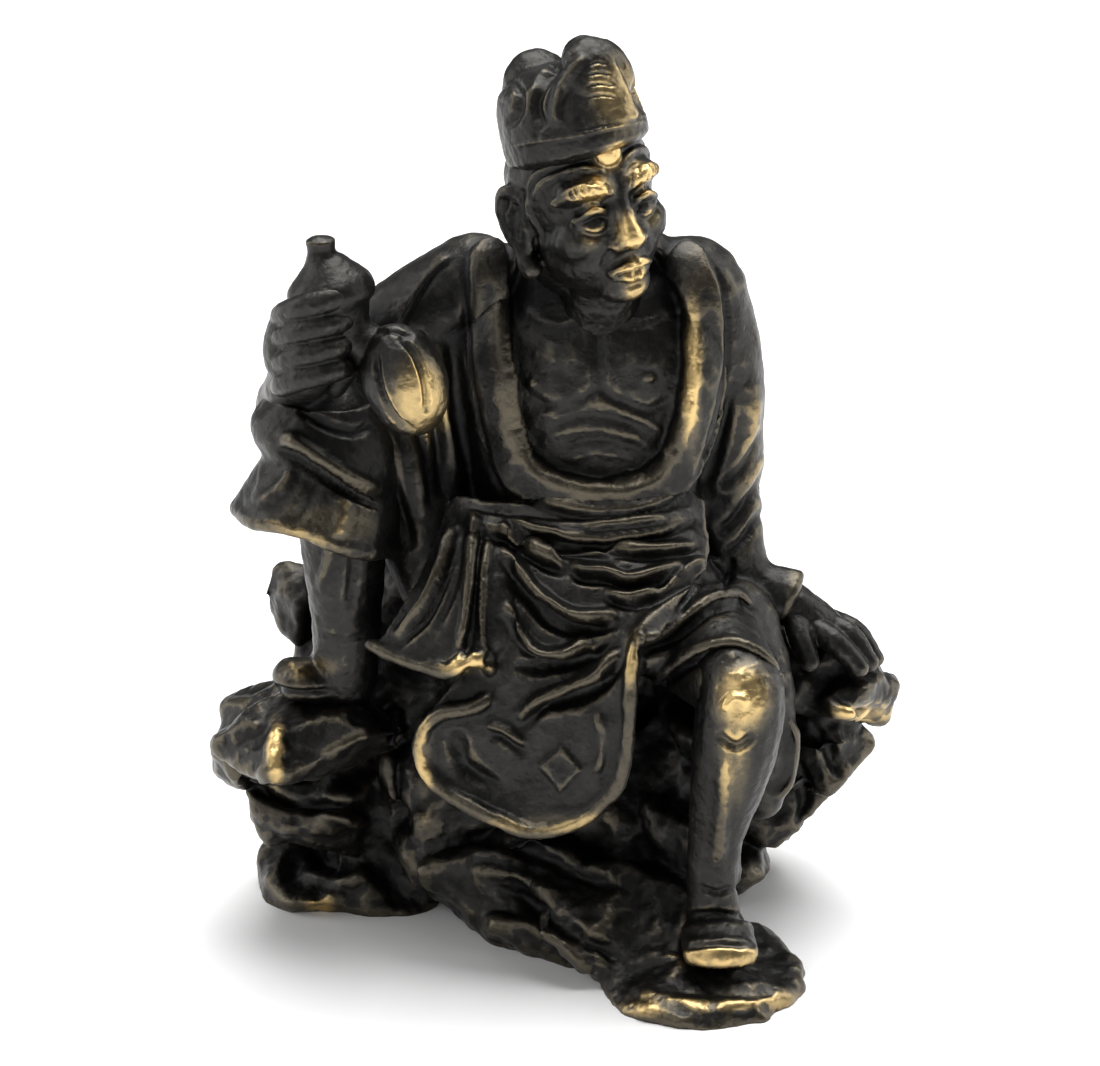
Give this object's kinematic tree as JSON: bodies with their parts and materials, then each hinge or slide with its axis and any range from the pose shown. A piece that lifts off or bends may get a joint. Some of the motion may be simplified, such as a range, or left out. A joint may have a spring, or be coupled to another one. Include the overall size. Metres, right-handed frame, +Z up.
{
  "type": "ji gong figurine",
  "caption": "Small cast brass figure of a robed monk in a peaked cap, seated on a crag with one knee raised and holding up a bottle gourd; stands on its own flat underside.",
  "frame": {"origin": "on the flat underside of the rock, straight below the middle of the trunk", "axes": "+Z up; the trunk faces -Y; +X is towards the figure's own left"},
  "size_m": [0.0425, 0.0292, 0.0554],
  "materials": {
    "patinated_brass": "dark brown-black patina, rubbed back to bare brass on the high places"
  },
  "bodies": {
    "root": {"figurine": "patinated_brass"}
  },
  "joints": []
}
